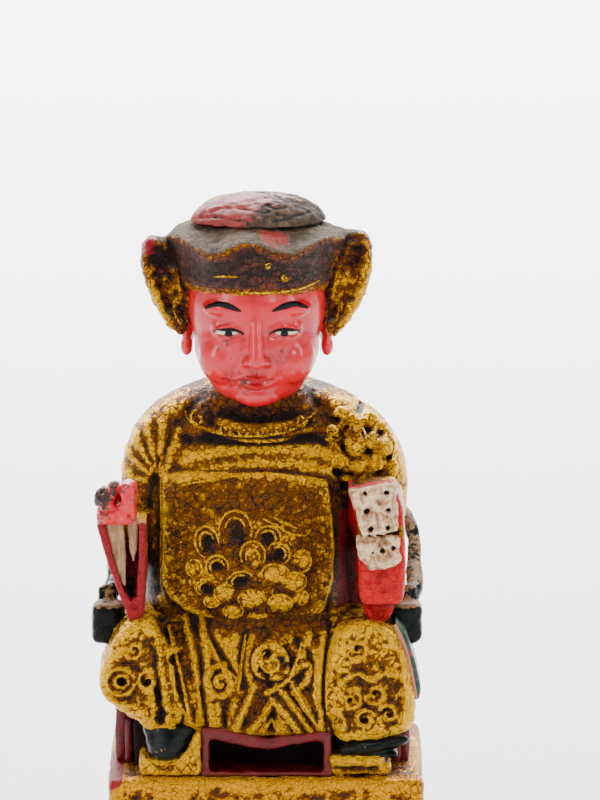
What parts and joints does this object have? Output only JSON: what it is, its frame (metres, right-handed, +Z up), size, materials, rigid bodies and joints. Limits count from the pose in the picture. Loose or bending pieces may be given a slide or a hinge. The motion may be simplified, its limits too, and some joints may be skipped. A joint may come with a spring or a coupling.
{
  "type": "carved ancestor figure",
  "caption": "Gilded and lacquered wooden figure of a robed official seated in a low armchair on a stepped plinth, with a lift-off cap and a plugged cavity in the back.",
  "frame": {"origin": "centre of the object's footprint box, on the underside of the plinth", "axes": "+Z up; the figure faces -Y; +X is the figure's own left"},
  "size_m": [0.099, 0.082, 0.215],
  "materials": {
    "gilt_lacquer": "worn gold leaf over brown lacquer on carved wood",
    "red_lacquer": "crimson lacquer, semi-gloss, worn at the edges",
    "black_lacquer": "black lacquer, worn to bare wood at the edges",
    "face_lacquer": "glossy coral-red lacquer with small chips",
    "bare_wood": "bare aged softwood",
    "gesso": "broken face with white ground and bare wood",
    "worn_cap": "dusty brown ground with flaking salmon-red paint",
    "rolled_paper": "rolled rag paper",
    "packet_cloth": "coarse cotton packet"
  },
  "bodies": {
    "figure": {"plinth_base": "gilt_lacquer", "plinth_waist": "red_lacquer", "plinth_top": "gilt_lacquer", "footrest_right": "gilt_lacquer", "footrest_left": "gilt_lacquer", "seat_board": "red_lacquer", "rear_panel": "red_lacquer", "back_rail": "black_lacquer", "back_splat": "red_lacquer", "front_post_right": "red_lacquer", "front_post_left": "red_lacquer", "back_post_right": "red_lacquer", "back_post_left": "red_lacquer", "side_panel_right": "red_lacquer", "side_panel_left": "red_lacquer", "chair_arm_right": "black_lacquer", "chair_arm_left": "black_lacquer", "seat_peg_right": "bare_wood", "seat_peg_left": "bare_wood", "sleeve_peg_right": "bare_wood", "sleeve_peg_left": "bare_wood", "figure_block": "gilt_lacquer", "sleeve_right": "gilt_lacquer", "sleeve_left": "red_lacquer", "hand_right": "face_lacquer", "hand_stub_left": "gesso", "boot_right": "black_lacquer", "boot_left": "black_lacquer", "head": "face_lacquer", "hat_brim": "gilt_lacquer", "crown_peg": "bare_wood", "document_roll": "rolled_paper", "herb_packet": "packet_cloth"},
    "cap": {"hat_crown": "worn_cap"},
    "plug": {"back_plug": "red_lacquer"}
  },
  "joints": [
    {"name": "cap_lift", "type": "slide", "parent": "figure", "child": "cap", "axis": [0, 0, 1], "range_m": [0, 0.014]},
    {"name": "plug_pull", "type": "slide", "parent": "figure", "child": "plug", "axis": [0, 1, 0], "range_m": [0, 0.026]}
  ]
}
